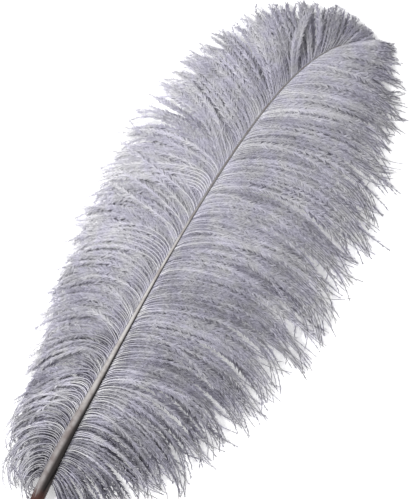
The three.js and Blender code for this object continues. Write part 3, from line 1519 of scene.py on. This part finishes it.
LEFT_HABIT = Habit(
    count=212, under=210, strays=0.16, tip_fluff=1.0, bare_tip=0.2, combed_tip=0.3,
    tip_thick=0.8, tip_density=0.75, tip_tone=0.26, tip_core=0.4, tone=0.53, contrast=0.6,
    curl=26.0, tangle=15.0, unlike=0.4, tip_shade=0.16,
    under_density=0.7, loose_base=1.0, base_shade=0.03,
)
RIGHT_HABIT = Habit(
    count=212, under=230, strays=0.13, tip_fluff=1.2, bare_tip=0.5, combed_tip=0.4,
    tip_thick=0.45, tip_density=0.6, tip_tone=0.42, tip_core=0.02, tone=0.525, contrast=0.75,
    curl=28.0, tangle=8.0, unlike=0.16, tip_shade=-0.03,
    under_density=0.4, loose_base=0.28, base_shade=0.19,
)

# Stations along each vane: the place, the barbs' length in metres, the angles in degrees from
# the shaft at which they leave it and at which they end, and how late they bend.
LEFT_STATIONS: Stations = (
    (0.0, 0.034, 84, 270, 0.9),
    (0.02, 0.052, 78, 262, 0.9),
    (0.045, 0.071, 68, 245, 0.9),
    (0.09, 0.078, 62, 218, 0.9),
    (0.155, 0.072, 60, 198, 0.9),
    (0.275, 0.079, 60, 176, 1.0),
    (0.36, 0.086, 60, 164, 1.05),
    (0.565, 0.090, 60, 146, 1.3),
    (0.73, 0.084, 60, 104, 2.0),
    (0.855, 0.064, 62, 76, 2.0),
    (0.94, 0.037, 44, 46, 2.0),
    (1.0, 0.014, 14, 14, 1.0),
)
RIGHT_STATIONS: Stations = (
    (0.0, 0.048, 112, 168, 0.8),
    (0.035, 0.068, 90, 150, 0.8),
    (0.09, 0.092, 66, 132, 0.8),
    (0.19, 0.120, 57, 128, 0.8),
    (0.275, 0.137, 53, 124, 0.82),
    (0.36, 0.151, 52, 121, 0.85),
    (0.565, 0.151, 50, 116, 0.9),
    (0.73, 0.130, 46, 104, 0.9),
    (0.855, 0.096, 40, 82, 0.9),
    (0.94, 0.058, 28, 48, 0.9),
    (1.0, 0.024, 6, 8, 1.0),
)

# Name of each stretch of a vane that is a piece of its own, and where along the vane it ends.
LEFT_STRETCHES = {"left_vane_base": 0.51, "left_vane_tip": 1.0}
RIGHT_STRETCHES = {"right_vane_base": 0.36, "right_vane_middle": 0.62, "right_vane_tip": 1.0}

# Wisps of the left vane that lie across the others.
LEFT_CROSSINGS = (
    Crossing(
        Wisp(
            share=0.862, leave=-6.0, turn=-62.0, late=0.45, length=1.0, lift=0.003, tone=0.22,
            curl=0.0, pull=0.85, grip=0.1, wave=2.0, phase=0.0,
        ),
        barbs=5, spacing=0.003,
    ),
    Crossing(
        Wisp(
            share=0.60, leave=30.0, turn=-4.0, late=0.5, length=1.12, lift=0.0045, tone=0.16,
            curl=6.0, pull=0.6, grip=0.2, wave=2.0, phase=0.0,
        ),
        barbs=7, spacing=0.005,
    ),
    Crossing(
        Wisp(
            share=0.455, leave=6.0, turn=10.0, late=0.8, length=1.0, lift=0.002, tone=0.06,
            curl=0.0, pull=0.35, grip=0.3, wave=2.0, phase=0.0,
        ),
        barbs=8, spacing=0.006,
    ),
    Crossing(
        Wisp(
            share=0.53, leave=20.0, turn=-56.0, late=1.0, length=0.8, lift=0.0045, tone=0.14,
            curl=0.0, pull=0.15, grip=0.3, wave=2.0, phase=0.0,
        ),
        barbs=4, spacing=0.02,
    ),
    Crossing(
        Wisp(
            share=0.044, leave=0.0, turn=-3.0, late=1.0, length=1.06, lift=0.002, tone=-0.2,
            curl=6.0, pull=0.15, grip=0.3, wave=2.0, phase=0.0,
        ),
        barbs=20, spacing=0.0042,
    ),
)


# ---- Studio -------------------------------------------------------------------------


@dataclass(frozen=True)
class Lamp:
    """A square soft lamp: its place to the right, up and above in the view, side and watts."""

    name: str
    place: Triple
    size: float
    power: float


@dataclass
class Studio:
    """The pale floor, soft lights and camera above the plume."""

    shaft: Shaft
    view_width: float = 0.3328
    camera_height: float = 1.6
    turn: float = 28.0
    quill_share: float = 35.0 / 491.0
    to_middle: Span = (0.13552, 0.19696)
    mean_height: float = 0.014
    floor_half: float = 3.0
    sky_strength: float = 0.55
    lamps: tuple[Lamp, ...] = (
        Lamp("key", (-0.75, 0.45, 0.95), 0.35, 17.0),
        Lamp("fill", (0.7, -0.35, 1.1), 0.9, 5.0),
    )

    def to_part(self, right: float, up: float) -> Vector:
        """Turns a level direction in the view into one in the part's frame.

        Args:
            right: Its length to the right.
            up: Its length towards the top of the view.

        Returns:
            The direction.
        """
        turn = math.radians(self.turn)
        x = math.cos(turn) * right - math.sin(turn) * up
        y = math.sin(turn) * right + math.cos(turn) * up
        return Vector((x, y, 0.0))

    def build(self) -> None:
        """Makes the floor, the camera, the lamps and the sky."""
        self.floor()
        self.camera()
        for lamp in self.lamps:
            self.hang(lamp)
        world = bpy.data.worlds.new("studio")
        world.use_nodes = True
        sky = world.node_tree.nodes["Background"]
        sky.inputs["Color"].default_value = (1.0, 1.0, 1.0, 1.0)
        sky.inputs["Strength"].default_value = self.sky_strength
        bpy.context.scene.world = world
        bpy.context.scene.view_settings.view_transform = "Standard"

    def floor(self) -> None:
        """Lays the floor just below the plume."""
        mesh = bpy.data.meshes.new("floor")
        half = self.floor_half
        corners = [(-half, -half, 0), (half, -half, 0), (half, half, 0), (-half, half, 0)]
        mesh.from_pydata(corners, [], [(0, 1, 2, 3)])
        mesh.materials.append(FloorFinish().build())
        floor = add_object("floor", mesh)

    def hang(self, lamp: Lamp) -> None:
        """Hangs a lamp that points at the plume.

        Args:
            lamp: The lamp.
        """
        light = bpy.data.lights.new(lamp.name, "AREA")
        light.size = lamp.size
        light.energy = lamp.power
        piece = add_object(lamp.name, light)
        right, up, height = lamp.place
        spot = self.to_part(right, up)
        piece.location = (spot.x, spot.y, height)
        piece.rotation_euler = (-piece.location).to_track_quat("-Z", "Y").to_euler()

    def camera(self) -> None:
        """Sets the camera straight above, turned so that the plume lies aslant."""
        camera = add_object("camera", bpy.data.cameras.new("camera"))
        camera.data.sensor_fit = "HORIZONTAL"
        camera.data.angle = 2 * math.atan(self.view_width / 2 / self.camera_height)
        quill = self.shaft.point(self.quill_share)
        aim = self.to_part(*self.to_middle)
        height = self.mean_height + self.camera_height
        camera.location = (quill[0] + aim.x, quill[1] + aim.y, height)
        camera.rotation_euler = (0.0, 0.0, math.radians(self.turn))
        bpy.context.scene.camera = camera


# ---- The plume ----------------------------------------------------------------------


def place(piece: bpy.types.Object, slot: str) -> None:
    """Fixes a finished piece to the plume and reports it.

    Args:
        piece: The piece.
        slot: The record's material slot for its finish; not used.
    """
    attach(piece, BODY)
    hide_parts(NODE)
    mesh = piece.data
    mesh.calc_loop_triangles()
    log.info("%s: %d triangles", piece.name, len(mesh.loop_triangles))


def main() -> None:
    """Builds the plume and the studio around it."""
    logging.basicConfig(level=logging.INFO, format="%(name)s %(message)s")
    shaft = Shaft()
    Studio(shaft).build()
    barb_finish = BarbFinish().build()
    fringe = Fringe()
    place(shaft.build(ShaftFinish().build()), "shaft")
    left = Vane(Side.LEFT, shaft, LEFT_STATIONS, LEFT_HABIT, crossings=LEFT_CROSSINGS)
    right = Vane(Side.RIGHT, shaft, RIGHT_STATIONS, RIGHT_HABIT)
    vanes = ((left, LEFT_STRETCHES), (right, RIGHT_STRETCHES))
    for vane, stretches in vanes:
        for piece in vane.build(fringe, barb_finish, stretches):
            place(piece, "barbs")


if __name__ == "__main__":
    main()
